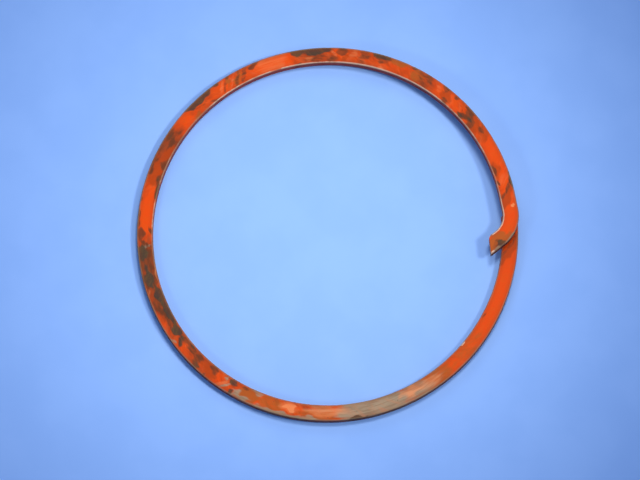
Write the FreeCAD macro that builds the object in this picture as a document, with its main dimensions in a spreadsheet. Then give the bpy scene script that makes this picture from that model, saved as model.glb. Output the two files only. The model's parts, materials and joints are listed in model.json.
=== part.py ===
import FreeCAD, Part
import math
import os
import Sketcher

# Snap ring: one length of flat wire bent once round, with overlapping ends.
# The origin is the ring's centre, on the plane that the flat part rests on, with +Z up.
# Angles run counter-clockwise from +X, seen from above. The hook lies near +X.
# The wire is made of lengths that meet end to end, so that it can bend at the joints between them.
# The crown lies opposite the hook, with the hook's arm before it and the tail's arm after it.

HOOK_ARM = ("hook_arm_2", "hook_arm_1")
RAMPS = ("ramp_high", "ramp_mid", "ramp_low")
TAIL_ARM = ("tail_arm_1", "tail_arm_2", "tail_arm_3", "tail_arm_4", "tail_arm_5")

# (alias, value): lengths in millimetres, angles in degrees
DIMENSIONS = (
    ("outer_radius", 50.0),
    ("wire_width", 4.2),
    ("wire_thickness", 3.2),
    ("edge_radius", 0.3),
    ("end_gap", 0.3),
    ("crown_start", 159.0),
    ("flat_span", 29.5),
    ("ramp_span", 25.5),
    ("hook_height", 4.1),
    ("lead_start", 11.0),
    ("lead_length", 4.0),
    ("bend_radius", 5.5),
    ("bend_angle", 63.0),
    ("tip_length", 3.3),
    ("tip_skew", 32.5),
)
SHEET = "Dimensions"
MEAN_RADIUS = "(Dimensions.outer_radius - Dimensions.wire_width / 2)"
BEND_MEAN_RADIUS = "(Dimensions.bend_radius + Dimensions.wire_width / 2)"
# Half the gap between two neighbouring lengths, as an angle at the ring's mean radius.
HALF_GAP = "(Dimensions.end_gap / 2 / %s * 180 / pi)" % MEAN_RADIUS
RAMP_START = "(Dimensions.crown_start - %d * Dimensions.flat_span)" % len(HOOK_ARM)
RAMP_END = "(%s - %d * Dimensions.ramp_span)" % (RAMP_START, len(RAMPS))
# Height gained for each degree of the climb.
RAMP_SLOPE = "(Dimensions.hook_height / (%s - Dimensions.lead_start))" % RAMP_START
FULL_FLAT = "Dimensions.flat_span - 2 * %s" % HALF_GAP
FULL_RAMP = "Dimensions.ramp_span - 2 * %s" % HALF_GAP


def make_sheet(doc):
    sheet = doc.addObject("Spreadsheet::Sheet", SHEET)
    for row, (alias, value) in enumerate(DIMENSIONS, start=1):
        sheet.set("A%d" % row, alias)
        sheet.set("B%d" % row, str(value))
        sheet.setAlias("B%d" % row, alias)
    doc.recompute()
    return sheet


def make_body(doc, name, start_angle, height):
    """An empty body, turned about +Z to the angle its length starts at and raised to its height."""
    body = doc.addObject("PartDesign::Body", name)
    body.Label = name
    body.Placement = FreeCAD.Placement(
        FreeCAD.Vector(0, 0, 0.001), FreeCAD.Rotation(FreeCAD.Vector(0, 0, 1), 1)
    )
    body.setExpression(".Placement.Rotation.Angle", "(%s) * 1 deg" % start_angle)
    body.setExpression(".Placement.Base.z", "(%s) * 1 mm" % height)
    return body


def origin_feature(body, role):
    return next(item for item in body.Origin.OriginFeatures if item.Role == role)


def new_sketch(body, name, plane_role):
    sketch = body.newObject("Sketcher::SketchObject", name)
    sketch.AttachmentSupport = [(origin_feature(body, plane_role), "")]
    sketch.MapMode = "FlatFace"
    return sketch


def named_constraint(sketch, name, constraint, expression):
    """Adds a driving dimension and binds it to an expression of the sheet's cells."""
    index = sketch.addConstraint(constraint)
    sketch.renameConstraint(index, name)
    sketch.setExpression("Constraints." + name, expression)


def add_wire_section(body, name):
    """The wire's cross-section on the body's XZ plane: a rectangle with rounded corners."""
    sketch = new_sketch(body, name, "XZ_Plane")
    inner, outer, top, corner = 45.8, 50.0, 3.2, 0.3
    normal = FreeCAD.Vector(0, 0, 1)

    def line(x0, y0, x1, y1):
        return Part.LineSegment(FreeCAD.Vector(x0, y0, 0), FreeCAD.Vector(x1, y1, 0))

    def arc(x, y, first, last):
        circle = Part.Circle(FreeCAD.Vector(x, y, 0), normal, corner)
        return Part.ArcOfCircle(circle, first, last)

    quarter = math.pi / 2
    bottom = sketch.addGeometry(line(inner + corner, 0, outer - corner, 0))
    right = sketch.addGeometry(line(outer, corner, outer, top - corner))
    upper = sketch.addGeometry(line(outer - corner, top, inner + corner, top))
    left = sketch.addGeometry(line(inner, top - corner, inner, corner))
    arcs = (
        sketch.addGeometry(arc(outer - corner, corner, -quarter, 0)),
        sketch.addGeometry(arc(outer - corner, top - corner, 0, quarter)),
        sketch.addGeometry(arc(inner + corner, top - corner, quarter, 2 * quarter)),
        sketch.addGeometry(arc(inner + corner, corner, 2 * quarter, 3 * quarter)),
    )
    sides = (bottom, right, upper, left)
    for index, rounded in enumerate(arcs):
        following = sides[(index + 1) % 4]
        sketch.addConstraint(Sketcher.Constraint("Tangent", sides[index], 2, rounded, 1))
        sketch.addConstraint(Sketcher.Constraint("Tangent", rounded, 2, following, 1))
    for flat in (bottom, upper):
        sketch.addConstraint(Sketcher.Constraint("Horizontal", flat))
    for upright in (right, left):
        sketch.addConstraint(Sketcher.Constraint("Vertical", upright))
    for rounded in arcs[1:]:
        sketch.addConstraint(Sketcher.Constraint("Equal", arcs[0], rounded))
    sketch.addConstraint(Sketcher.Constraint("PointOnObject", bottom, 1, -1))
    named_constraint(
        sketch,
        "corner",
        Sketcher.Constraint("Radius", arcs[0], corner),
        "Dimensions.edge_radius",
    )
    named_constraint(
        sketch,
        "width",
        Sketcher.Constraint("DistanceX", left, 2, right, 1, outer - inner),
        "Dimensions.wire_width",
    )
    named_constraint(
        sketch,
        "thickness",
        Sketcher.Constraint("DistanceY", right, 1, right, 2, top - 2 * corner),
        "Dimensions.wire_thickness - 2 * Dimensions.edge_radius",
    )
    named_constraint(
        sketch,
        "inner_radius",
        Sketcher.Constraint("DistanceX", -1, 1, left, 2, inner),
        "Dimensions.outer_radius - Dimensions.wire_width",
    )
    return sketch


def make_flat_length(doc, name, start_angle, span):
    """A length that lies on the resting plane, turned counter-clockwise from its start angle."""
    body = make_body(doc, name, start_angle, "0")
    section = add_wire_section(body, name + "_section")
    doc.recompute()
    turned = body.newObject("PartDesign::Revolution", name + "_turned")
    turned.Profile = section
    turned.ReferenceAxis = (section, ["V_Axis"])
    turned.setExpression("Angle", "(%s) * 1 deg" % span)
    section.Visibility = False
    body.Tip = turned
    doc.recompute()
    return body


def add_climb(body, section, span, downwards):
    """Sweeps the section along the climb: up and clockwise, or down and counter-clockwise."""
    climb = body.newObject("PartDesign::AdditiveHelix", body.Name + "_climb")
    climb.Profile = section
    climb.ReferenceAxis = (section, ["V_Axis"])
    climb.Mode = "height-turns-angle"
    climb.LeftHanded = True
    climb.Reversed = downwards
    climb.Angle = 0
    climb.Growth = 0
    climb.setExpression("Height", "%s * (%s) * 1 mm" % (RAMP_SLOPE, span))
    climb.setExpression("Turns", "(%s) / 360" % span)
    section.Visibility = False
    body.Tip = climb
    return climb


def make_ramp_length(doc, name, end_angle, span):
    """A length that climbs clockwise from its end angle."""
    height = "%s * (%s - (%s))" % (RAMP_SLOPE, RAMP_START, end_angle)
    body = make_body(doc, name, end_angle, height)
    section = add_wire_section(body, name + "_section")
    doc.recompute()
    add_climb(body, section, span, False)
    doc.recompute()
    return body


def add_hook_path(body, name):
    """The hook's centreline on the body's XY plane: straight lead, inward bend, straight tip."""
    sketch = new_sketch(body, name, "XY_Plane")
    mean_radius, lead, bend, tip = 47.9, 4.0, 7.6, 4.6
    turn = math.radians(63.0)
    lead_end = FreeCAD.Vector(mean_radius, -lead, 0)
    centre = FreeCAD.Vector(mean_radius - bend, -lead, 0)
    bend_end = centre + FreeCAD.Vector(bend * math.cos(turn), -bend * math.sin(turn), 0)
    tip_end = bend_end - FreeCAD.Vector(tip * math.sin(turn), tip * math.cos(turn), 0)
    circle = Part.Circle(centre, FreeCAD.Vector(0, 0, 1), bend)
    straight = sketch.addGeometry(Part.LineSegment(FreeCAD.Vector(mean_radius, 0, 0), lead_end))
    curve = sketch.addGeometry(Part.ArcOfCircle(circle, -turn, 0))
    end = sketch.addGeometry(Part.LineSegment(bend_end, tip_end))
    sketch.addConstraint(Sketcher.Constraint("PointOnObject", straight, 1, -1))
    sketch.addConstraint(Sketcher.Constraint("Vertical", straight))
    sketch.addConstraint(Sketcher.Constraint("Tangent", straight, 2, curve, 2))
    sketch.addConstraint(Sketcher.Constraint("Tangent", curve, 1, end, 1))
    named_constraint(
        sketch,
        "mean_radius",
        Sketcher.Constraint("DistanceX", -1, 1, straight, 1, mean_radius),
        MEAN_RADIUS,
    )
    named_constraint(
        sketch,
        "lead",
        Sketcher.Constraint("DistanceY", straight, 2, straight, 1, lead),
        "Dimensions.lead_length",
    )
    named_constraint(
        sketch,
        "bend_radius",
        Sketcher.Constraint("Radius", curve, bend),
        BEND_MEAN_RADIUS,
    )
    named_constraint(
        sketch,
        "bend_angle",
        Sketcher.Constraint("Angle", curve, turn),
        "Dimensions.bend_angle * 1 deg",
    )
    named_constraint(
        sketch,
        "tip",
        Sketcher.Constraint("Distance", end, tip),
        "Dimensions.tip_length + Dimensions.wire_width / 2 * tan(Dimensions.tip_skew * 1 deg)",
    )
    return sketch


def add_skew_cut(body, name):
    """Cuts the tip off along a line skewed from square, longer at the outer edge."""
    sketch = new_sketch(body, name + "_outline", "XY_Plane")
    bend = "Dimensions.bend_angle * 1 deg"
    sketch.AttachmentOffset = FreeCAD.Placement(
        FreeCAD.Vector(0.001, 0.001, 0), FreeCAD.Rotation(FreeCAD.Vector(0, 0, 1), 1)
    )
    sketch.setExpression(
        ".AttachmentOffset.Base.x",
        "(%s - %s * (1 - cos(%s)) - Dimensions.tip_length * sin(%s)) * 1 mm"
        % (MEAN_RADIUS, BEND_MEAN_RADIUS, bend, bend),
    )
    sketch.setExpression(
        ".AttachmentOffset.Base.y",
        "-(Dimensions.lead_length + %s * sin(%s) + Dimensions.tip_length * cos(%s)) * 1 mm"
        % (BEND_MEAN_RADIUS, bend, bend),
    )
    sketch.setExpression(
        ".AttachmentOffset.Rotation.Angle",
        "(270 - Dimensions.bend_angle - Dimensions.tip_skew) * 1 deg",
    )
    reach = 6.0
    corners = ((0, -reach), (reach, -reach), (reach, reach), (0, reach))
    points = [FreeCAD.Vector(x, y, 0) for x, y in corners]
    sides = [
        sketch.addGeometry(Part.LineSegment(points[index], points[(index + 1) % 4]))
        for index in range(4)
    ]
    for index in range(4):
        following = sides[(index + 1) % 4]
        sketch.addConstraint(Sketcher.Constraint("Coincident", sides[index], 2, following, 1))
    for flat in sides[0::2]:
        sketch.addConstraint(Sketcher.Constraint("Horizontal", flat))
    for upright in sides[1::2]:
        sketch.addConstraint(Sketcher.Constraint("Vertical", upright))
    sketch.addConstraint(Sketcher.Constraint("Symmetric", sides[3], 1, sides[3], 2, -1, 1))
    named_constraint(
        sketch,
        "reach",
        Sketcher.Constraint("DistanceX", sides[0], 1, sides[0], 2, reach),
        "Dimensions.wire_width * 1.5",
    )
    named_constraint(
        sketch,
        "height",
        Sketcher.Constraint("DistanceY", sides[1], 1, sides[1], 2, 2 * reach),
        "Dimensions.wire_width * 3",
    )
    cut = body.newObject("PartDesign::Pocket", name)
    cut.Profile = sketch
    cut.Type = "ThroughAll"
    cut.Midplane = True
    sketch.Visibility = False
    body.Tip = cut
    return cut


def make_hooked_end(doc, name, span):
    """The top of the climb, then the straight lead, the inward bend and the skewed tip."""
    body = make_body(doc, name, "Dimensions.lead_start", "Dimensions.hook_height")
    climb_section = add_wire_section(body, name + "_climb_section")
    hook_section = add_wire_section(body, name + "_hook_section")
    path = add_hook_path(body, name + "_path")
    doc.recompute()
    add_climb(body, climb_section, span, True)
    doc.recompute()
    hook = body.newObject("PartDesign::AdditivePipe", name + "_hook")
    hook.Profile = hook_section
    hook.Spine = (path, [])
    hook_section.Visibility = False
    path.Visibility = False
    body.Tip = hook
    doc.recompute()
    add_skew_cut(body, name + "_cut")
    doc.recompute()
    return body


def make_flat_lengths(doc):
    """The flat lengths, counter-clockwise from the foot of the climb to the plain end."""
    bodies = []
    names = HOOK_ARM + ("crown",) + TAIL_ARM
    for index, name in enumerate(names):
        start = "%s + %d * Dimensions.flat_span + %s" % (RAMP_START, index, HALF_GAP)
        bodies.append(make_flat_length(doc, name, start, FULL_FLAT))
    # The last one ends freely under the hook, so it has a gap at its start only.
    start = "%s + %d * Dimensions.flat_span + %s" % (RAMP_START, len(names), HALF_GAP)
    bodies.append(make_flat_length(doc, "tail_end", start, "Dimensions.flat_span - " + HALF_GAP))
    return bodies


def make_ramp_lengths(doc):
    """The climbing lengths, from the one next to the hooked end down to the resting plane."""
    bodies = []
    for index, name in enumerate(RAMPS, start=1):
        end = "%s + %d * Dimensions.ramp_span - %s" % (RAMP_END, index, HALF_GAP)
        bodies.append(make_ramp_length(doc, name, end, FULL_RAMP))
    return bodies


def check_objects(doc, bodies):
    """Stops the build if any object failed or any body isn't one valid closed solid."""
    for item in doc.Objects:
        if "Invalid" in item.State or "Error" in item.State:
            raise RuntimeError("%s is in state %s" % (item.Label, item.State))
    for body in bodies:
        shape = body.Shape
        if shape.isNull() or not shape.isValid() or len(shape.Solids) != 1:
            raise RuntimeError(body.Label + " isn't one valid solid")


doc = FreeCAD.newDocument("snap_ring")
make_sheet(doc)
hooked_span = "%s - %s - Dimensions.lead_start" % (RAMP_END, HALF_GAP)
bodies = [make_hooked_end(doc, "hooked_end", hooked_span)]
bodies += make_ramp_lengths(doc)
bodies += make_flat_lengths(doc)
doc.recompute()
check_objects(doc, bodies)

os.makedirs("parts", exist_ok=True)
for body in bodies:
    body.Shape.exportStep("parts/%s.step" % body.Label)
    print(body.Label, round(body.Shape.Volume, 3))
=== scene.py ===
import json
import math

import bpy
import numpy as np
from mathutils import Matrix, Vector, noise


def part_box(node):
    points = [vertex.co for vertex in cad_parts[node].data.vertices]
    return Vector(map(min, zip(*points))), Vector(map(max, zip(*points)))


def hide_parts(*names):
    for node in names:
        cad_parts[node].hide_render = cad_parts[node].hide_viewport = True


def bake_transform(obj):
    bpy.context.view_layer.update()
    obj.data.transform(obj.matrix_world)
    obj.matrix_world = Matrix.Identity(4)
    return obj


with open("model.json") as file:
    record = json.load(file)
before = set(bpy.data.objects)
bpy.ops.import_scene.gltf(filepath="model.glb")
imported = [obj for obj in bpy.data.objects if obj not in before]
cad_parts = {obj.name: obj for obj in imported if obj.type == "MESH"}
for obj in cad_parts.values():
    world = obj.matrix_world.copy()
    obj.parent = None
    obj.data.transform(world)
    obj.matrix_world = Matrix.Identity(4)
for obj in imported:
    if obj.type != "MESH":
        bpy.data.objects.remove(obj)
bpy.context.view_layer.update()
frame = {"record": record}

# Snap ring of painted spring wire. Lengths are in millimetres and angles in degrees, counter-clockwise
# from +X, unless a comment says otherwise.
# The wire is drawn as one skin from the plain tail, clockwise round the ring and up to the hook.
# It is cut into pieces at the middle of each CAD length, so that each piece bends over one joint.

MM = 0.001
record = frame["record"]

# ---------------------------------------------------------------- sizes


def mount(name):
    """One of the record's mounts."""
    return next(item for item in record["mounts"] if item["name"] == name)


def box_mm(node):
    """Lowest and highest corners of a CAD node."""
    low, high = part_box(node)
    return [value / MM for value in low], [value / MM for value in high]


def joint_angle(name):
    """Where a bend of the wire lies on the ring."""
    joint = next(item for item in record["behaviour"]["joints"] if item["name"] == name)
    angle = math.degrees(math.atan2(joint["pos_m"][1], joint["pos_m"][0]))
    return angle % 360


HOOK_ARM = ["hook_arm_1", "hook_arm_2", "ramp_low", "ramp_mid", "ramp_high", "hooked_end"]
TAIL_ARM = ["tail_arm_1", "tail_arm_2", "tail_arm_3", "tail_arm_4", "tail_arm_5", "tail_end"]

crown_low, crown_high = box_mm("crown")
hook_top = box_mm("hooked_end")[1][2]

# the ring and the wire's section
OUTER = mount("groove_seat")["dims"]["r_mm"]
WIDTH = 4.2
THICK = crown_high[2] - crown_low[2]
CORNER = 0.3
MEAN = OUTER - WIDTH / 2
PER_DEGREE = MEAN * math.pi / 180
TAIL_TIP = 2 * joint_angle("tail_end_bend") - joint_angle("tail_arm_5_bend")

# the climb, from its foot to where the straight lead leaves the ring
FOOT = joint_angle("ramp_low_bend")
FOOT_EASE = 3.0
LEAD_START = 11.0
HOOK_Z = hook_top - THICK

# the hook: lead, inward bend, and tip with a skewed cut and a rounded inner corner
LEAD = 4.0
BEND_INNER = 5.5
BEND_MEAN = BEND_INNER + WIDTH / 2
BEND = 63.0
TIP = 3.3
SKEW = 32.5
TIP_ROUND = 1.2

# ---------------------------------------------------------------- the wire's centreline

# distances along the wire from the tail's end
ARC_LENGTH = (TAIL_TIP - LEAD_START) * PER_DEGREE
LEAD_END = ARC_LENGTH + LEAD
BEND_END = LEAD_END + BEND_MEAN * math.radians(BEND)
WIRE_END = BEND_END + TIP


def along_at(angle):
    """Distance along the wire from the tail's end to a place on the ring."""
    return (TAIL_TIP - angle) * PER_DEGREE


def heading_vector(heading):
    """Unit vector that points a given way in the ring's plane."""
    return np.array([math.cos(math.radians(heading)), math.sin(math.radians(heading)), 0.0])


def ring_height(angle):
    """Height of the wire's underside, with the foot of the climb eased over a few degrees."""
    slope = HOOK_Z / (FOOT - LEAD_START)
    climb = FOOT - angle
    if climb <= -FOOT_EASE:
        return 0.0
    if climb < FOOT_EASE:
        return slope * (climb + FOOT_EASE) ** 2 / (4 * FOOT_EASE)
    return slope * climb


def tip_reach(across):
    """How far the tip runs on at a place across the wire: cut askew, its inner corner rounded."""
    skew = math.radians(SKEW)
    middle = TIP_ROUND - WIDTH / 2
    if across >= middle - TIP_ROUND * math.sin(skew):
        return TIP + across * math.tan(skew)
    centre = TIP + middle * math.tan(skew) - TIP_ROUND / math.cos(skew)
    return centre + math.sqrt(max(0.0, TIP_ROUND**2 - (across - middle) ** 2))


def centre_at(along, across):
    """Centreline point, heading and height at a distance along the wire; the tip's cut is skewed."""
    if along <= ARC_LENGTH:
        angle = TAIL_TIP - along / PER_DEGREE
        return MEAN * heading_vector(angle), angle - 90, min(ring_height(angle), HOOK_Z)
    heading = LEAD_START - 90
    lead = min(along - ARC_LENGTH, LEAD)
    point = MEAN * heading_vector(LEAD_START) + lead * heading_vector(heading)
    if along <= LEAD_END:
        return point, heading, HOOK_Z
    turned = min(math.degrees((along - LEAD_END) / BEND_MEAN), BEND)
    middle = point - BEND_MEAN * heading_vector(heading + 90)
    point = middle + BEND_MEAN * heading_vector(heading + 90 - turned)
    heading -= turned
    if along <= BEND_END:
        return point, heading, HOOK_Z
    reach = (along - BEND_END) / TIP * tip_reach(across)
    return point + reach * heading_vector(heading), heading, HOOK_Z


# ---------------------------------------------------------------- the wire's cross-section

TOP_POINTS = 17
WALL_POINTS = 7
UNDER_POINTS = 9
CORNER_POINTS = 4
# how far edge wear reaches over the flats from a rounded corner
EDGE_REACH = 0.45


def section_outline():
    """Points round the section as (across, up, outward normal, edge): from the inner top corner
    over the top, down the outer wall, under and up the inner wall. Edge is 1 on a rounded corner
    and fades out over the flat beside it."""
    half = WIDTH / 2
    points = []

    def straight(first, last, count, normal):
        for index in range(count):
            share = index / (count - 1)
            # bunched towards the two edges
            share = 0.5 - 0.5 * math.cos(math.pi * share)
            place = [first[0] + share * (last[0] - first[0]), first[1] + share * (last[1] - first[1])]
            from_edge = min(share, 1 - share) * math.dist(first, last)
            points.append((place[0], place[1], normal, max(0.0, 1 - from_edge / EDGE_REACH)))

    def corner(centre, first):
        for index in range(1, CORNER_POINTS + 1):
            turn = math.radians(first - 90 * index / (CORNER_POINTS + 1))
            normal = (math.cos(turn), math.sin(turn))
            place = (centre[0] + CORNER * normal[0], centre[1] + CORNER * normal[1])
            points.append((place[0], place[1], normal, 1.0))

    flat = half - CORNER
    straight((-flat, THICK), (flat, THICK), TOP_POINTS, (0, 1))
    corner((flat, THICK - CORNER), 90)
    straight((half, THICK - CORNER), (half, CORNER), WALL_POINTS, (1, 0))
    corner((flat, CORNER), 0)
    straight((flat, 0), (-flat, 0), UNDER_POINTS, (0, -1))
    corner((-flat, CORNER), -90)
    straight((-half, CORNER), (-half, THICK - CORNER), WALL_POINTS, (-1, 0))
    corner((-flat, THICK - CORNER), 180)
    return points


OUTLINE = section_outline()
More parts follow.
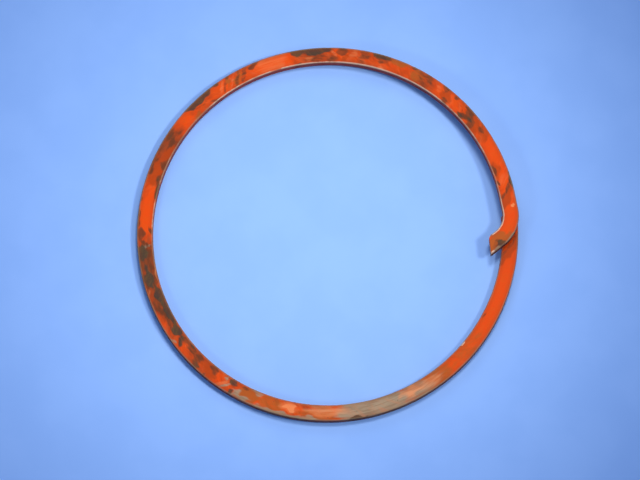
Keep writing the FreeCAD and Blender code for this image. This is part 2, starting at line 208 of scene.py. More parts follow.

# ---------------------------------------------------------------- wear on the paint, and painted light on it

# Patches, one by one: (kind, angle, half length, across, half width, lean, strength).
# Angles and half lengths are in degrees of the ring. They carry on at the same scale past its end, so
# that the bend starts at 6, the tip at -4 and the wire ends near -8. Across is -1 at the inner edge
# and 1 at the outer one. Lean is how far a patch slants, in degrees from the middle of the wire to
# its outer edge.
# the patches of lighter peach among these are painted highlights, laid into the colour where the paint
# shines
WEAR = (
    # the hook and the bend
    ("bare", -4.3, 1.6, 0.60, 0.50, 0.4, 0.92),
    ("ochre", -4.8, 4.8, 0.40, 1.20, 0.5, 1.30),
    ("stain_and_shadow", -5.6, 2.6, 0.40, 0.60, 0.4, 0.62),
    ("rub", -4.8, 4.8, 1.00, 0.30, 0.0, 1.30),
    ("painted_highlight", 7.5, 0.50, 0.26, 0.20, 0.0, 1.40),
    # up the ramp and down to its foot
    ("burnt_and_shadow", 10.6, 2.6, -0.30, 1.20, 2.4, 1.10),
    ("stain_and_shadow", 12.4, 1.2, 0.15, 1.00, 3.0, 0.80),
    ("stain_and_shadow", 14.8, 2.6, 0.90, 0.50, 0.8, 1.10),
    ("bare", 14.6, 2.0, 0.80, 0.34, 0.6, 1.40),
    ("stain_and_shadow", 15.2, 1.2, -0.62, 0.22, -0.4, 1.10),
    ("stain_and_shadow", 20.0, 2.0, -0.68, 0.26, 0.0, 1.10),
    ("burnt_and_shadow", 20.4, 2.8, -0.50, 0.60, 0.0, 0.90),
    ("burnt_and_shadow", 32.4, 3.2, 0.20, 1.10, 1.4, 0.78),
    ("stain_and_shadow", 33.6, 1.3, 0.50, 0.70, 1.2, 0.70),
    ("burnt_and_shadow", 37.5, 4.6, 0.00, 1.40, 1.4, 0.95),
    ("stain_and_shadow", 38.6, 1.8, 0.00, 1.10, 1.8, 1.15),
    ("bare", 38.4, 1.1, 0.00, 0.50, 1.2, 0.50),
    ("stain_and_shadow", 40.8, 1.9, 0.80, 0.40, 0.0, 1.30),
    ("stain_and_shadow", 41.4, 2.4, -0.48, 0.42, 0.8, 1.25),
    ("bare", 41.8, 1.2, -0.56, 0.26, 0.4, 0.74),
    ("stain_and_shadow", 46.4, 1.0, 0.92, 0.30, 0.0, 0.90),
    ("burnt_and_shadow", 49.2, 2.4, 0.00, 1.20, 0.6, 1.00),
    ("stain_and_shadow", 48.9, 1.0, -0.62, 0.32, 0.3, 0.95),
    ("stain_and_shadow", 50.4, 1.3, 0.75, 0.42, 0.6, 0.80),
    ("painted_highlight", 52.4, 1.0, 0.05, 0.60, 1.0, 0.40),
    ("stain_and_shadow", 55.8, 1.4, 0.60, 0.70, 1.2, 0.95),
    ("stain_and_shadow", 57.6, 3.0, 0.00, 1.20, 1.4, 0.62),
    ("ochre", 60.6, 2.8, 0.10, 1.10, 0.6, 0.84),
    ("bare", 62.0, 1.8, 0.98, 0.24, 0.0, 0.80),
    ("ochre", 67.6, 3.4, 0.70, 0.60, 0.0, 0.90),
    ("bare", 73.6, 2.5, 0.86, 0.56, -1.0, 1.05),
    ("stain_and_shadow", 73.2, 2.8, 0.55, 0.90, -1.2, 0.82),
    ("painted_highlight", 72.4, 1.3, -0.62, 0.30, 0.0, 0.62),
    ("bare", 75.4, 1.0, 0.96, 0.30, 0.0, 0.90),
    ("stain_and_shadow", 78.9, 2.0, 0.10, 1.20, -0.6, 0.66),
    ("painted_highlight", 82.1, 1.3, 0.30, 0.95, -1.0, 0.46),
    ("burnt_and_shadow", 84.0, 1.4, -0.40, 0.70, -1.0, 0.90),
    ("stain_and_shadow", 85.4, 1.8, 0.60, 0.60, 0.0, 1.05),
    ("bare", 85.4, 1.2, 0.88, 0.28, 0.0, 0.80),
    ("painted_highlight", 87.6, 0.9, 0.30, 0.70, 1.6, 0.55),
    ("stain_and_shadow", 89.0, 1.8, -0.55, 0.44, 0.8, 1.00),
    ("bare", 94.8, 5.6, 0.84, 0.80, -1.0, 1.70),
    ("bare", 99.8, 4.4, 1.02, 0.36, -0.4, 1.20),
    ("stain_and_shadow", 93.6, 5.4, -0.20, 0.80, 0.0, 0.60),
    ("painted_highlight", 95.8, 2.2, -0.36, 0.30, 0.0, 0.50),
    ("bare", 99.8, 1.5, -0.74, 0.20, 0.0, 0.86),
    ("painted_highlight", 107.5, 6.0, 0.10, 1.60, 0.0, 0.46),
    # over the top and down the left side
    ("stain_and_shadow", 113.8, 1.7, 0.78, 0.50, -0.8, 1.00),
    ("stain_and_shadow", 117.6, 1.0, 0.20, 1.00, -1.8, 0.72),
    ("ochre", 119.6, 1.6, 0.00, 1.00, -1.4, 0.80),
    ("stain_and_shadow", 119.8, 0.8, -0.10, 1.00, -1.4, 0.70),
    ("painted_highlight", 121.6, 0.6, 0.00, 0.90, -1.8, 0.38),
    ("ochre", 123.0, 0.9, 0.30, 0.70, -0.8, 1.00),
    ("stain_and_shadow", 122.4, 0.7, 0.90, 0.30, 0.0, 0.90),
    ("stain_and_shadow", 124.4, 0.6, 0.00, 0.80, -1.8, 0.72),
    ("painted_highlight", 125.8, 0.9, 0.20, 0.90, -2.2, 0.48),
    ("bare", 133.2, 5.4, 0.92, 0.72, -0.6, 2.10),
    ("bare", 137.4, 2.6, 0.94, 0.40, -0.4, 1.40),
    ("stain_and_shadow", 133.0, 4.4, 0.20, 0.60, 0.0, 0.40),
    ("stain_and_shadow", 129.4, 1.9, -0.72, 0.20, 0.0, 0.85),
    ("ochre", 137.2, 1.8, -0.60, 0.50, 0.0, 0.80),
    ("stain_and_shadow", 149.4, 5.6, 0.50, 0.80, 0.4, 0.86),
    ("bare", 148.0, 2.2, 0.52, 0.36, 0.4, 0.34),
    ("stain_and_shadow", 147.4, 3.2, -0.50, 0.60, 0.0, 0.50),
    ("burnt_and_shadow", 152.6, 4.4, -0.50, 0.70, 0.0, 1.00),
    ("stain_and_shadow", 157.2, 2.4, -0.62, 0.44, 0.0, 1.05),
    ("stain_and_shadow", 158.0, 3.4, 0.82, 0.34, 0.0, 0.96),
    ("burnt_and_shadow", 160.0, 5.0, 0.10, 1.40, 0.0, 1.20),
    ("bare", 165.0, 3.6, -0.84, 0.34, -1.0, 1.05),
    ("stain_and_shadow", 164.2, 4.8, -0.74, 0.46, -1.0, 0.86),
    ("stain_and_shadow", 174.5, 7.0, 0.96, 0.26, 0.0, 0.90),
    ("stain_and_shadow", 179.4, 1.4, -0.60, 0.20, 0.0, 0.95),
    ("stain_and_shadow", 180.6, 1.9, 0.60, 0.50, -0.6, 0.98),
    ("stain_and_shadow", 183.4, 0.8, 0.00, 1.00, -1.6, 0.95),
    ("rub", 184.6, 0.6, -0.10, 0.80, 1.0, 0.52),
    ("bare", 187.0, 3.0, 0.45, 0.62, -0.4, 1.20),
    ("stain_and_shadow", 188.4, 4.6, 0.10, 1.30, 0.0, 1.05),
    ("bare", 194.2, 4.2, 0.22, 0.56, 1.0, 1.15),
    ("stain_and_shadow", 195.4, 4.6, 0.10, 1.20, 0.0, 1.05),
    ("painted_highlight", 193.6, 3.0, -0.80, 0.22, 0.0, 0.72),
    ("painted_highlight", 199.4, 1.6, 0.70, 0.24, 0.0, 0.50),
    ("bare", 201.4, 4.0, -0.44, 0.50, 0.6, 1.25),
    ("stain_and_shadow", 203.4, 3.4, 0.00, 0.90, 0.6, 0.92),
    ("bare", 209.4, 6.2, -0.62, 0.44, 0.6, 1.30),
    ("stain_and_shadow", 209.6, 7.0, -0.40, 0.56, 1.0, 1.00),
    ("bare", 213.6, 2.2, -0.16, 0.40, 1.4, 1.10),
    ("rub", 216.8, 0.9, 0.70, 0.18, -1.4, 0.86),
    ("bare", 217.0, 1.2, 0.05, 0.80, 1.2, 0.76),
    ("stain_and_shadow", 220.2, 3.0, -0.50, 0.50, 0.4, 1.05),
    ("bare", 220.4, 1.4, -0.74, 0.22, 0.0, 0.70),
    ("stain_and_shadow", 225.0, 1.6, 0.20, 1.10, 0.8, 0.95),
    ("bare", 225.4, 1.4, 0.50, 0.34, 1.0, 0.56),
    ("stain_and_shadow", 225.0, 2.6, -0.40, 0.50, 0.5, 0.84),
    ("burnt_and_shadow", 229.4, 3.0, 0.00, 1.20, 0.6, 0.95),
    ("stain_and_shadow", 231.4, 2.0, -0.50, 0.44, 0.8, 0.88),
    ("bare", 229.4, 0.7, 0.84, 0.24, 0.0, 0.70),
    # along the bottom
    ("rub", 235.8, 0.9, -0.50, 0.26, -0.4, 1.00),
    ("painted_highlight", 236.2, 0.9, 0.25, 0.80, -2.4, 0.58),
    ("rub", 237.6, 0.7, 0.20, 0.70, -2.6, 0.90),
    ("bare", 239.0, 0.8, 0.72, 0.28, 0.0, 0.80),
    ("bare", 239.2, 1.7, -0.60, 0.32, 0.2, 0.80),
    ("rub", 241.0, 1.9, 0.40, 0.50, -1.2, 0.86),
    ("rub", 243.4, 2.2, 0.62, 0.36, -0.6, 1.00),
    ("stain_and_shadow", 242.8, 1.6, -0.45, 0.40, 0.0, 0.70),
    ("ochre", 244.6, 4.0, -0.10, 1.20, -1.0, 1.05),
    ("rub", 246.4, 2.4, -0.74, 0.20, -0.6, 0.66),
    ("ochre", 251.6, 5.6, 0.00, 1.30, 0.0, 0.80),
    ("rub", 254.0, 11.0, 0.94, 0.38, 0.0, 1.10),
    ("painted_highlight", 258.2, 2.4, -0.24, 0.38, 0.0, 1.60),
    ("painted_highlight", 257.6, 3.4, -0.20, 0.80, 0.0, 0.55),
    ("rub", 264.2, 2.6, 0.72, 0.22, 0.0, 1.10),
    ("stain_and_shadow", 262.6, 2.6, 0.30, 0.50, 0.0, 0.34),
    ("rub", 269.0, 7.0, -0.50, 0.90, 0.0, 0.40),
    ("rub", 276.0, 5.0, 0.10, 1.40, 0.0, 0.52),
    ("painted_highlight", 269.0, 7.5, -0.20, 0.95, 0.0, 0.62),
    ("ochre", 267.0, 9.0, 0.30, 1.20, 0.0, 0.72),
    ("rub", 285.0, 11.5, 0.00, 2.60, 0.0, 1.50),
    ("rub", 298.0, 7.0, 0.00, 2.00, 0.0, 0.80),
    ("bare", 279.4, 2.6, 0.86, 0.36, 0.0, 1.20),
    ("stain_and_shadow", 291.0, 3.4, 0.90, 0.24, 0.0, 0.62),
    ("painted_highlight", 297.6, 4.6, -0.20, 0.70, 0.0, 0.70),
    ("rub", 304.4, 5.6, 0.00, 1.40, -1.0, 0.34),
    ("ochre", 304.0, 9.0, 0.00, 2.00, 0.0, 0.90),
    ("painted_highlight", 303.6, 4.6, -0.10, 0.90, 0.0, 0.52),
    ("ochre", 320.0, 8.0, -0.20, 1.60, 0.0, 0.56),
    ("stain_and_shadow", 331.4, 1.6, -0.70, 0.18, 0.0, 0.80),
    # on the tail, where the hook crosses over it: the hook's painted shadow, laid on as burnt and
    # stained paint
    ("burnt_and_shadow", 354.4, 2.4, 0.00, 9.00, 4.2, 0.95),
    ("stain_and_shadow", 355.8, 1.1, 0.00, 9.00, 4.2, 0.52),
    # broad stretches where the coat is dull, and fresh ones that stayed bright
    ("dull", 38.5, 7.5, 0.0, 3.0, 1.0, 0.30),
    ("dull", 58.0, 5.5, 0.0, 3.0, 1.0, 0.62),
    ("dull", 68.0, 7.0, 0.3, 1.6, 0.0, 0.42),
    ("dull", 79.0, 6.0, 0.0, 3.0, 0.0, 0.55),
    ("dull", 93.5, 7.0, 0.0, 3.0, 0.0, 0.62),
    ("dull", 118.5, 5.5, 0.0, 3.0, -1.0, 0.34),
    ("dull", 133.0, 6.5, 0.0, 3.0, 0.0, 0.40),
    ("dull", 151.5, 8.5, 0.1, 3.0, 0.0, 0.80),
    ("dull", 163.0, 6.0, 0.6, 1.2, 0.0, 0.30),
    ("dull", 189.0, 8.0, 0.0, 3.0, 0.0, 0.90),
    ("dull", 202.0, 8.0, -0.2, 1.8, 0.0, 0.90),
    ("dull", 214.0, 6.0, -0.5, 1.4, 0.0, 0.70),
    ("dull", 226.0, 7.0, -0.2, 2.0, 0.0, 0.66),
    ("dull", 240.0, 6.0, 0.0, 3.0, 0.0, 0.50),
    ("dull", 266.0, 9.0, 0.0, 3.0, 0.0, 0.36),
    ("fresh", -2.0, 12.0, 0.0, 9.0, 0.0, 1.00),
    ("fresh", 25.5, 5.0, 0.0, 9.0, 2.0, 0.90),
    ("fresh", 45.0, 1.2, 0.0, 9.0, 1.0, 0.80),
    ("fresh", 52.5, 1.6, 0.0, 9.0, 1.0, 0.60),
    ("fresh", 107.0, 6.0, 0.0, 9.0, -1.5, 1.00),
    ("fresh", 126.5, 3.0, 0.0, 9.0, -2.0, 0.60),
    ("fresh", 142.0, 3.4, 0.0, 9.0, -1.0, 0.90),
    ("fresh", 173.0, 7.5, 0.0, 9.0, 0.0, 1.00),
    ("fresh", 208.0, 4.0, 0.8, 0.5, 0.0, 0.80),
    ("fresh", 221.0, 2.4, 0.4, 0.5, 0.0, 0.80),
    ("fresh", 344.0, 26.0, 0.0, 9.0, 0.0, 1.00),
)

# Lines where a top edge is rubbed to pale steel and carries a painted highlight: (angle, half length,
# side, strength). Side is -1 for the inner edge and 1 for the outer one.
RUBBED_AND_SHINING_EDGES = (
    (-8.6, 2.0, 1, 1.90),
    (-8.6, 1.6, -1, 1.00),
    (-1.2, 5.2, -1, 1.22),
    (6.4, 4.6, -1, 1.00),
    (12.0, 3.6, -1, 0.84),
    (20.0, 8.0, -1, 0.80),
    (38.0, 14.0, -1, 0.86),
    (60.0, 12.0, -1, 1.00),
    (78.0, 10.0, -1, 1.14),
    (92.0, 6.0, -1, 0.90),
    (100.0, 6.0, -1, 1.08),
    (120.0, 14.0, -1, 0.90),
    (150.0, 16.0, -1, 0.78),
    (174.0, 5.0, -1, 0.84),
    (320.0, 0.9, -1, 1.40),
    (345.0, 14.0, -1, 0.68),
)
KINDS = ("bare", "stain_and_shadow", "ochre", "burnt_and_shadow", "rub", "painted_highlight", "dull", "fresh")
# below 2 the patches have pointed ends, drawn out along the wire
PATCH_POWER = 1.35
# a patch is at full strength inside the first of these shares of its size, and gone at the second
PATCH_FULL = 0.58
PATCH_GONE = 1.42
# how far the outlines wander: along, as a share of the half length up to a limit, and across
WANDER_ALONG = 0.64
WANDER_LIMIT = 3.0
WANDER_ACROSS = 0.52
# a pale edge line, worn paint with a painted highlight, fades over the first of these shares of its
# half length, up to the second
LINE_FADE = 0.4
LINE_GONE = 1.2
# height over which the line begins, up the rounded top corner
LINE_RISE = 0.4 * CORNER


def smooth(value):
    """Smooth step from 0 to 1."""
    value = np.clip(value, 0.0, 1.0)
    return value * value * (3 - 2 * value)


def wear_at(angles, across, wander):
    """How strongly each kind of wear and painted light shows at each point. Wander bends the outlines
    of the patches.
    """
    fields = {kind: np.zeros_like(angles) for kind in KINDS}
    for kind, angle, half_length, middle, half_width, lean, strength in WEAR:
        shift = WANDER_ALONG * min(half_length, WANDER_LIMIT) * wander[:, 0]
        lengthwise = (angles + shift - angle - lean * across) / half_length
        crosswise = (across + WANDER_ACROSS * wander[:, 1] - middle) / half_width
        distance = np.abs(lengthwise) ** PATCH_POWER + np.abs(crosswise) ** PATCH_POWER
        distance = distance ** (1 / PATCH_POWER)
        inside = smooth((PATCH_GONE - distance) / (PATCH_GONE - PATCH_FULL))
        fields[kind] = np.maximum(fields[kind], strength * inside)
    fields["line"] = np.zeros_like(angles)
    for angle, half_length, side, strength in RUBBED_AND_SHINING_EDGES:
        within = smooth((LINE_GONE - np.abs(angles - angle) / half_length) / LINE_FADE)
        fields["line"] = np.maximum(fields["line"], strength * within * smooth(0.5 + side * across))
    return fields


# ---------------------------------------------------------------- the wire's skin

# distance between two cross-sections
STEP = 0.36
# the small rounded rim of a sheared end, from its start to the flat face: (back from the end, inset)
RIM = ((0.05, 0.015), (0.02, 0.05), (0.0, 0.11))
# how soon an inset at the rim counts as a fully worn edge
RIM_WEAR = 12.0
# the least angle between two faces that stays sharp
SHARP_ANGLE = 48.0
# the rolled surface: grain of its waves and pits along, across and up, and how deep they go
WAVE_SIZE = (9.0, 3.0, 3.0)
WAVE_DEPTH = 0.012
PIT_SIZE = (1.1, 0.8, 0.8)
PIT_DEPTH = 0.016
LEAST_DEPTH = 0.012
# dents in the edges, and how much of the noise is left out between them
NICK_SIZE = (1.7, 2.5, 2.5)
NICK_DEPTH = 0.13
NICK_GAP = 0.28
# the bends in the outlines of the worn patches
WANDER_SIZE = (2.4, 1.6, 1.6)


def noise_at(place, size, shift):
    """Smooth noise, the same at every run. Place is along, across and up; shift picks another draw."""
    return noise.noise(Vector([place[axis] / size[axis] + shift[axis] for axis in range(3)]))


def roughness_of_steel(place):
    """How far the rolled surface lies below its true size, from broad waves down to small pits."""
    waves = noise_at(place, WAVE_SIZE, (0, 0, 0))
    pits = noise_at(place, PIT_SIZE, (0, 7, 0))
    return LEAST_DEPTH + WAVE_DEPTH * (waves + 1) / 2 + PIT_DEPTH * max(0.0, pits)


def nick_depth(place):
    """Small dents that only the edges take."""
    return NICK_DEPTH * max(0.0, noise_at(place, NICK_SIZE, (31, 0, 0)) - NICK_GAP)


def wander_at(place):
    """Two smooth random numbers that bend the outlines of the wear."""
    return noise_at(place, WANDER_SIZE, (0, 0, 11)), noise_at(place, WANDER_SIZE, (53, 17, 40))


def build_skin(first, last, close_first, close_last):
    """The wire's skin between two distances along it: vertices, side faces, end faces, and for each
    vertex its place in the wire and how near it is to an edge."""
    count = max(8, math.ceil((last - first) / STEP))
    stations = [first + (last - first) * index / count for index in range(count + 1)]
    rings = [(along, 0.0) for along in stations]
    if close_first:
        rings = [(first + back, inset) for back, inset in reversed(RIM)] + rings[1:]
    if close_last:
        rings = rings[:-1] + [(last - back, inset) for back, inset in RIM]
    vertices = []
    coordinates = []
    edges = []
    for along, inset in rings:
        for across, up, normal, edge in OUTLINE:
            depth = roughness_of_steel((along, across, up)) + inset
            if edge >= 1.0:
                depth += nick_depth((along, across, up))
            side = across - normal[0] * depth
            height = up - normal[1] * depth
            point, heading, base = centre_at(along, side)
            place = point + side * heading_vector(heading + 90)
            vertices.append((place[0] * MM, place[1] * MM, (base + height) * MM))
            coordinates.append((along, across, up))
            edges.append(max(edge, min(1.0, RIM_WEAR * inset)))
    size = len(OUTLINE)
    faces = []
    for row in range(len(rings) - 1):
        for index in range(size):
            after = (index + 1) % size
            here = row * size + index
            beside = row * size + after
            faces.append((here, beside, beside + size, here + size))
    ends = []
    if close_first:
        ends.append(tuple(range(size)))
    if close_last:
        ends.append(tuple(reversed(range((len(rings) - 1) * size, len(rings) * size))))
    return vertices, faces, ends, coordinates, edges


def add_field(mesh, name, values):
    field = mesh.attributes.new(name, "FLOAT", "POINT")
    field.data.foreach_set("value", np.array(values, np.float32))


def make_piece(name, first, last, close_first, close_last):
    """A stretch of the wire as an object, with its wear and painted light stored on its vertices."""
    vertices, faces, ends, coordinates, edges = build_skin(first, last, close_first, close_last)
    mesh = bpy.data.meshes.new(name)
    mesh.from_pydata(vertices, [], faces + ends)
    mesh.update()
    mesh.polygons.foreach_set("use_smooth", [True] * len(mesh.polygons))
    mesh.set_sharp_from_angle(angle=math.radians(SHARP_ANGLE))
    coordinates = np.array(coordinates)
    angles = TAIL_TIP - coordinates[:, 0] / PER_DEGREE
    wander = np.array([wander_at(place) for place in coordinates])
    fields = wear_at(angles, coordinates[:, 1] / (WIDTH / 2), wander)
    # only the top edges take the pale line of worn paint and painted highlight
    fields["line"] *= np.clip((coordinates[:, 2] - (THICK - CORNER)) / LINE_RISE, 0, 1)
    place = mesh.attributes.new("wire_mm", "FLOAT_VECTOR", "POINT")
    place.data.foreach_set("vector", coordinates.astype(np.float32).ravel())
    for kind, values in fields.items():
        add_field(mesh, "wear_" + kind, values)
    add_field(mesh, "wear_edge", edges)
    piece = bpy.data.objects.new(name, mesh)
    bpy.context.scene.collection.objects.link(piece)
    return piece


# ---------------------------------------------------------------- materials


class Nodes:
    """Short calls for building a material's nodes."""

    def __init__(self, name):
        self.material = bpy.data.materials.new(name)
        self.material.use_nodes = True
        self.tree = self.material.node_tree
        self.tree.nodes.clear()
        self.output = self.tree.nodes.new("ShaderNodeOutputMaterial")

    def add(self, kind, settings=None, **inputs):
        node = self.tree.nodes.new(kind)
        for key, value in (settings or {}).items():
            setattr(node, key, value)
        for key, value in inputs.items():
            self.put(node, key.replace("_", " "), value)
        return node

    def put(self, node, key, value):
        socket = node.inputs[int(key)] if key.isdigit() else node.inputs[key]
        if isinstance(value, bpy.types.NodeSocket):
            self.tree.links.new(value, socket)
        else:
            socket.default_value = value

    def attribute(self, name, output="Fac"):
        """What the mesh stores under a name."""
        return self.add("ShaderNodeAttribute", {"attribute_name": name}).outputs[output]

    def math(self, operation, first, second=0.0, third=0.0):
        node = self.add("ShaderNodeMath", {"operation": operation})
        for index, value in enumerate((first, second, third)):
            self.put(node, str(index), value)
        return node.outputs[0]

    def split(self, vector):
        return self.add("ShaderNodeSeparateXYZ", None, Vector=vector).outputs[:3]

    def join(self, x, y, z):
        return self.add("ShaderNodeCombineXYZ", None, X=x, Y=y, Z=z).outputs[0]

    def stretched(self, vector, scale):
        node = self.add("ShaderNodeVectorMath", {"operation": "MULTIPLY"})
        self.put(node, "0", vector)
        self.put(node, "1", scale)
        return node.outputs[0]

    def noise(self, vector, scale, detail=4.0, rough=0.55, distortion=0.0):
        node = self.add("ShaderNodeTexNoise", {"noise_dimensions": "3D"})
        for key, value in (("Vector", vector), ("Scale", scale), ("Detail", detail),
                           ("Roughness", rough), ("Distortion", distortion)):
            self.put(node, key, value)
        return node.outputs["Fac"]

    def ramp(self, value, low, high, out_low=0.0, out_high=1.0):
        """Smooth step from one value to another."""
        node = self.add("ShaderNodeMapRange", {"interpolation_type": "SMOOTHSTEP", "clamp": True})
        for key, item in (("Value", value), ("From Min", low), ("From Max", high),
                          ("To Min", out_low), ("To Max", out_high)):
            self.put(node, key, item)
        return node.outputs[0]

    def mix(self, share, first, second):
        node = self.add("ShaderNodeMix", {"data_type": "RGBA", "clamp_factor": True})
        self.put(node, "0", share)
        for index, value in ((6, first), (7, second)):
            self.put(node, str(index), value)
        return node.outputs[2]

    def blur_mask(self, field, grain, amount, low, high):
        """A painted field with its edge broken up by a grain."""
        shifted = self.math("SUBTRACT", grain, 0.5)
        broken = self.math("MULTIPLY_ADD", shifted, amount, field)
        return self.ramp(broken, low, high)


# paint
BRIGHT = (0.72, 0.060, 0.0020, 1)
ORANGE = (0.67, 0.070, 0.0035, 1)
LIGHT = (0.74, 0.105, 0.022, 1)
DEEP = (0.36, 0.040, 0.005, 1)
OCHRE = (0.37, 0.086, 0.013, 1)
# burnt paint; also the colour of the hook's painted shadow on the tail
BURNT_AND_SHADOW = (0.40, 0.046, 0.004, 1)
DULL = (0.235, 0.038, 0.010, 1)
# painted shade on the side walls: darker copies of the paint, the outer wall's darkest
WALL_INNER_SHADE = (0.32, 0.028, 0.022, 1)
WALL_OUTER_SHADE = (0.145, 0.022, 0.016, 1)
# dirt and stains; the stain colours also paint the hook's shadow on the tail
GRIME = (0.20, 0.040, 0.015, 1)
STAINED_AND_SHADOWED = (0.200, 0.044, 0.013, 1)
DARK_STAIN_SHADOW_AND_DIRT = (0.100, 0.032, 0.013, 1)
# dark scale on the bare steel
SCALE_DARK = (0.052, 0.037, 0.029, 1)
SCALE_OLIVE = (0.090, 0.056, 0.026, 1)
# rubbed places, and painted highlights
TAN = (0.34, 0.265, 0.172, 1)
TAN_DARK = (0.250, 0.185, 0.115, 1)
TAN_PINK = (0.43, 0.215, 0.120, 1)
# a painted highlight: the lighter peach of paint where it shines
PEACH_HIGHLIGHT = (0.84, 0.260, 0.090, 1)
# pale worn edges, also a painted highlight along the corners that catch the light
EDGE_PALE_WEAR_AND_SHEEN = (0.45, 0.300, 0.225, 1)
# the paper that the ring lies on
PAPER_DARK = (0.246, 0.428, 0.86, 1)
PAPER_LIGHT = (0.260, 0.446, 0.88, 1)

# how high the coat and its grain stand, in metres
COAT_HEIGHT = 0.00006


def painted_wire():
    """Worn red-orange paint on scaled steel, with painted highlights and painted shade. Layers go on
    from the paint outwards.
    """
    n = Nodes("worn_painted_steel")
    place = n.attribute("wire_mm", "Vector")
    along, across, up = n.split(place)
    # coordinates that slant like the brush marks, and ones drawn out along the wire
    slanted = n.join(n.math("MULTIPLY_ADD", across, 0.9, along), across, up)
    drawn = n.stretched(place, (0.10, 1.0, 1.0))
    # grains from broad to fine; torn and streak break up the outlines of the patches
    blotch = n.noise(place, 0.14, 3.0, 0.6, 0.4)
    brush = n.noise(n.stretched(slanted, (0.55, 0.22, 0.4)), 1.0, 3.0, 0.55, 0.3)
    torn = n.noise(n.stretched(slanted, (0.42, 0.95, 0.7)), 1.0, 5.0, 0.60, 0.3)
    streak = n.noise(drawn, 1.7, 5.0, 0.62, 0.2)
    medium = n.noise(place, 0.8, 4.0, 0.6, 0.3)
    fine = n.noise(place, 5.5, 4.0, 0.7)
    grit = n.noise(place, 16.0, 2.0, 0.6)
    aged = n.math("SUBTRACT", 1.0, n.attribute("wear_fresh"))

    # paint: bright orange-red, with paler and thinner brush marks where it is older
    paint = n.mix(n.ramp(medium, 0.36, 0.70, 0.0, 0.8), BRIGHT, ORANGE)
    paint = n.mix(n.math("MULTIPLY", aged, n.ramp(brush, 0.50, 0.68, 0.0, 0.8)), paint, LIGHT)
    thin = n.math("MULTIPLY", n.ramp(blotch, 0.36, 0.60), n.ramp(brush, 0.52, 0.32))
    paint = n.mix(n.math("MULTIPLY", n.math("MULTIPLY", thin, aged), 0.75), paint, DEEP)
    dull = n.blur_mask(n.attribute("wear_dull"), torn, 0.9, 0.0, 1.1)
    paint = n.mix(n.math("MULTIPLY", dull, 0.85), paint, DULL)
    # where the painted highlights go
    painted_highlight = n.blur_mask(n.attribute("wear_painted_highlight"), streak, 0.8, 0.15, 1.05)
    ochre = n.blur_mask(n.attribute("wear_ochre"), torn, 1.1, 0.15, 1.05)
    paint = n.mix(n.math("MULTIPLY", ochre, 0.85), paint, OCHRE)
    # burnt paint, whose mask also lays the hook's painted shadow on the tail
    burnt_and_shadow = n.blur_mask(n.attribute("wear_burnt_and_shadow"), torn, 1.1, 0.15, 1.05)
    paint = n.mix(n.math("MULTIPLY", burnt_and_shadow, 0.85), paint, BURNT_AND_SHADOW)

    # stains and thin paint over the dark scale; the same stains also paint the hook's shadow on the
    # tail
    stain_and_shadow = n.blur_mask(n.attribute("wear_stain_and_shadow"), torn, 1.3, 0.16, 0.92)
    stain_and_shadow_colour = n.mix(n.ramp(torn, 0.40, 0.62), STAINED_AND_SHADOWED, DARK_STAIN_SHADOW_AND_DIRT)
    colour = n.mix(n.math("MULTIPLY", stain_and_shadow, 0.86), paint, stain_and_shadow_colour)

    # rubbed through to pale primer and dust
    rub = n.blur_mask(n.attribute("wear_rub"), streak, 1.0, 0.12, 1.05)
    rub_colour = n.mix(n.ramp(streak, 0.38, 0.62), TAN_DARK, TAN)
    rub_colour = n.mix(n.ramp(brush, 0.46, 0.66, 0.0, 0.7), rub_colour, TAN_PINK)
    colour = n.mix(n.math("MULTIPLY", rub, 0.94), colour, rub_colour)
    # painted highlights: lighter peach laid over the colour where the paint shines
    colour = n.mix(n.math("MULTIPLY", painted_highlight, 0.75), colour, PEACH_HIGHLIGHT)

    # bare dark scale
    bare = n.blur_mask(n.attribute("wear_bare"), torn, 1.4, 0.22, 0.84)
    scale_grain = n.math("MULTIPLY_ADD", fine, 0.5, n.math("MULTIPLY", brush, 0.5))
    bare_colour = n.mix(n.ramp(scale_grain, 0.42, 0.58), SCALE_DARK, SCALE_OLIVE)
    colour = n.mix(n.math("MULTIPLY", bare, 0.93), colour, bare_colour)

    # grime towards the edges
    from_middle = n.math("ABSOLUTE", across)
    colour = n.mix(n.ramp(from_middle, 0.5, 2.0, 0.0, 0.30), colour, GRIME)

    # scattered chips
    chips = n.ramp(n.noise(place, 1.9, 3.0, 0.55), 0.665, 0.72)
    chips = n.math("MULTIPLY", chips, n.math("MULTIPLY", aged, n.ramp(blotch, 0.42, 0.52)))
    colour = n.mix(n.math("MULTIPLY", chips, 0.65), colour, bare_colour)

    # painted shade: the walls are darkened in patches, the outer one most, for the shade they lie in
    patchy = n.ramp(torn, 0.36, 0.60, 0.40, 0.88)
    inner = n.math("MULTIPLY", n.ramp(across, -1.92, -2.08), patchy)
    colour = n.mix(inner, colour, WALL_INNER_SHADE)
    outer = n.math("MULTIPLY", n.ramp(across, 1.92, 2.08), patchy)
    colour = n.mix(outer, colour, WALL_OUTER_SHADE)

    # edges worn thin all round, and in places a pale line of rubbed paint with a painted highlight on
    # it
    nearness = n.attribute("wear_edge")
    edge = n.blur_mask(nearness, streak, 0.8, 0.70, 1.10)
    colour = n.mix(n.math("MULTIPLY", edge, 0.55), colour, TAN_DARK)
    line = n.math("MULTIPLY", nearness, n.attribute("wear_line"))
    line = n.blur_mask(line, medium, 0.6, 0.70, 1.0)
    # the pale line: worn paint, and a painted highlight on the edge
    colour = n.mix(n.math("MULTIPLY", line, 0.92), colour, EDGE_PALE_WEAR_AND_SHEEN)

    # fine dirt
    colour = n.mix(n.ramp(fine, 0.58, 0.80, 0.0, 0.28), colour, DARK_STAIN_SHADOW_AND_DIRT)

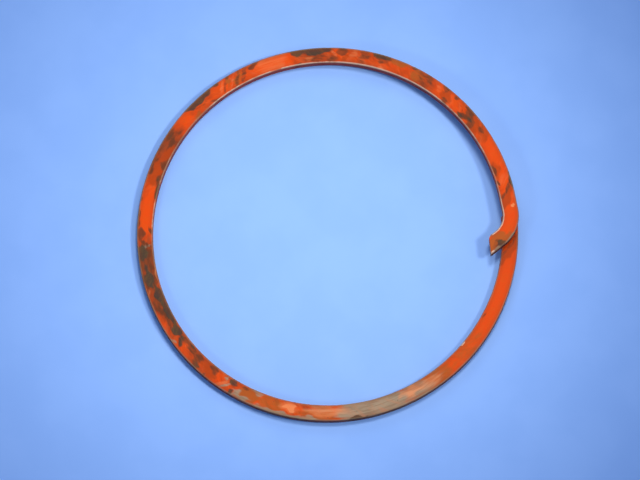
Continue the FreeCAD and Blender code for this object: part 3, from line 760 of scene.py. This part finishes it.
    # worn places are rougher, and bare steel is a little metallic
    worn = n.math("MAXIMUM", n.math("MAXIMUM", bare, chips), n.math("MULTIPLY", rub, 0.7))
    rough = n.ramp(worn, 0.0, 1.0, 0.46, 0.62)
    rough = n.math("MULTIPLY_ADD", n.math("SUBTRACT", fine, 0.5), 0.30, rough)
    metal = n.math("MAXIMUM", n.math("MULTIPLY", bare, 0.15), n.math("MULTIPLY", line, 0.25))

    # the coat stands proud of the bare patches, over orange peel and the steel's own grain
    height = n.math("SUBTRACT", 1.0, worn)
    height = n.math("MULTIPLY_ADD", fine, 0.30, height)
    height = n.math("MULTIPLY_ADD", grit, 0.10, height)
    height = n.math("MULTIPLY_ADD", medium, 0.25, height)
    bump = n.add("ShaderNodeBump", None, Height=height)
    bump.inputs["Strength"].default_value = 0.75
    bump.inputs["Distance"].default_value = COAT_HEIGHT

    shader = n.add("ShaderNodeBsdfPrincipled")
    n.put(shader, "Base Color", colour)
    n.put(shader, "Roughness", rough)
    n.put(shader, "Metallic", metal)
    n.put(shader, "Normal", bump.outputs[0])
    shader.inputs["Specular IOR Level"].default_value = 0.04
    n.tree.links.new(shader.outputs[0], n.output.inputs["Surface"])
    return n.material


def floor_paper():
    """Plain pale-blue paper with a faint mottle."""
    n = Nodes("floor_paper")
    geometry = n.add("ShaderNodeNewGeometry")
    mottle = n.noise(geometry.outputs["Position"], 60.0, 3.0, 0.5)
    colour = n.mix(n.ramp(mottle, 0.35, 0.65), PAPER_DARK, PAPER_LIGHT)
    shader = n.add("ShaderNodeBsdfPrincipled")
    n.put(shader, "Base Color", colour)
    shader.inputs["Roughness"].default_value = 0.75
    shader.inputs["Specular IOR Level"].default_value = 0.2
    n.tree.links.new(shader.outputs[0], n.output.inputs["Surface"])
    return n.material


# ---------------------------------------------------------------- the pieces of the wire

wire_material = painted_wire()

# lengths in order from the tail's end to the hook's tip, with the angles where they meet
lengths = list(reversed(TAIL_ARM)) + ["crown"] + HOOK_ARM
meetings = [joint_angle(name + "_bend") for name in reversed(TAIL_ARM)]
meetings += [joint_angle(name + "_bend") for name in HOOK_ARM]

# each piece runs from the middle of one length to the middle of the next
cuts = [0.0]
for before, after in zip(meetings, meetings[1:]):
    cuts.append(along_at((before + after) / 2))
cuts.append(WIRE_END)

for number, angle in enumerate(meetings):
    before = lengths[number]
    after = lengths[number + 1]
    is_first = number == 0
    is_last = number == len(meetings) - 1
    name = "wire_%02d" % (number + 1)
    piece = make_piece(name, cuts[number], cuts[number + 1], is_first, is_last)
    piece.data.materials.append(wire_material)
    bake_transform(piece)
    replaced = [before, after] if is_first else [after]
    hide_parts(*replaced)

# ---------------------------------------------------------------- floor, light and camera

# Lengths from here on are in metres. The floor lies a hair below the ring's underside.
FLOOR_SIZE = 3.0
FLOOR_DROP = 0.00002
SPOT_DISTANCE = 0.60
SPOT_CONE = 24.0
SOFTBOX_DISTANCE = 0.50
SPOT_COLOUR = (1.0, 0.955, 0.87)
SOFTBOX_COLOUR = (1.0, 0.98, 0.96)
WORLD_COLOUR = (0.16, 0.47, 1.0, 1)
WORLD_STRENGTH = 0.30

bpy.ops.mesh.primitive_plane_add(size=FLOOR_SIZE, location=(0, 0, -FLOOR_DROP))
floor = bpy.context.object
floor.name = "floor"
floor.data.materials.append(floor_paper())


def hang(name, lamp, azimuth, elevation, distance, aim=(0.0, 0.0)):
    """Puts a lamp up at an azimuth, an elevation and a distance, looking at a place on the floor."""
    holder = bpy.data.objects.new(name, lamp)
    flat = distance * math.cos(math.radians(elevation))
    holder.location = (
        flat * math.cos(math.radians(azimuth)),
        flat * math.sin(math.radians(azimuth)),
        distance * math.sin(math.radians(elevation)),
    )
    sight = Vector((aim[0], aim[1], 0.0)) - Vector(holder.location)
    holder.rotation_euler = sight.to_track_quat("-Z", "Y").to_euler()
    bpy.context.scene.collection.objects.link(holder)


def add_spot(name, azimuth, elevation, aim, radius, power):
    """A lamp that lights a round pool and casts the shadows."""
    lamp = bpy.data.lights.new(name, "SPOT")
    lamp.shadow_soft_size = radius
    lamp.spot_size = math.radians(SPOT_CONE)
    lamp.spot_blend = 1.0
    lamp.energy = power
    lamp.color = SPOT_COLOUR
    hang(name, lamp, azimuth, elevation, SPOT_DISTANCE, aim)


def add_softbox(name, azimuth, elevation, size, power):
    """A broad disc that softens the shadows."""
    lamp = bpy.data.lights.new(name, "AREA")
    lamp.shape = "DISK"
    lamp.size = size
    lamp.energy = power
    lamp.color = SOFTBOX_COLOUR
    hang(name, lamp, azimuth, elevation, SOFTBOX_DISTANCE)


# azimuth, elevation, where it looks, radius, watts
add_spot("key_top", 68, 75, (0.001, -0.010), 0.058, 7.9)
add_spot("key_right", -10, 63, (-0.026, 0.017), 0.046, 7.4)
# azimuth, elevation, diameter, watts
add_softbox("overhead", 60, 82, 0.26, 0.36)
add_softbox("fill_lower_left", 225, 48, 0.12, 0.28)
add_softbox("fill_top", 104, 42, 0.26, 0.40)

world = bpy.data.worlds.new("studio")
world.use_nodes = True
background = world.node_tree.nodes["Background"]
background.inputs["Color"].default_value = WORLD_COLOUR
background.inputs["Strength"].default_value = WORLD_STRENGTH

scene = bpy.context.scene
scene.world = world
scene.view_settings.view_transform = "Standard"
scene.view_settings.look = "None"

CAMERA_DISTANCE = 1.10
CAMERA_ELEVATION = 78.0
SENSOR_WIDTH = 36.0
# the ring's diameter and how far it lies off the middle, as shares of the picture's width
RING_SHARE = 0.5953
SHIFT_X = -0.0118
SHIFT_Y = -0.0096

tilt = math.radians(CAMERA_ELEVATION)
target = Vector((0, 0, THICK * MM / 2))
field_width = 2 * OUTER * MM / RING_SHARE
camera_data = bpy.data.cameras.new("camera")
camera_data.sensor_width = SENSOR_WIDTH
camera_data.lens = SENSOR_WIDTH * CAMERA_DISTANCE / field_width
camera_data.shift_x = SHIFT_X
camera_data.shift_y = SHIFT_Y
camera_data.clip_start = 0.01
camera = bpy.data.objects.new("camera", camera_data)
camera.location = target + CAMERA_DISTANCE * Vector((0, -math.cos(tilt), math.sin(tilt)))
camera.rotation_euler = (target - camera.location).to_track_quat("-Z", "Y").to_euler()
scene.collection.objects.link(camera)
scene.camera = camera
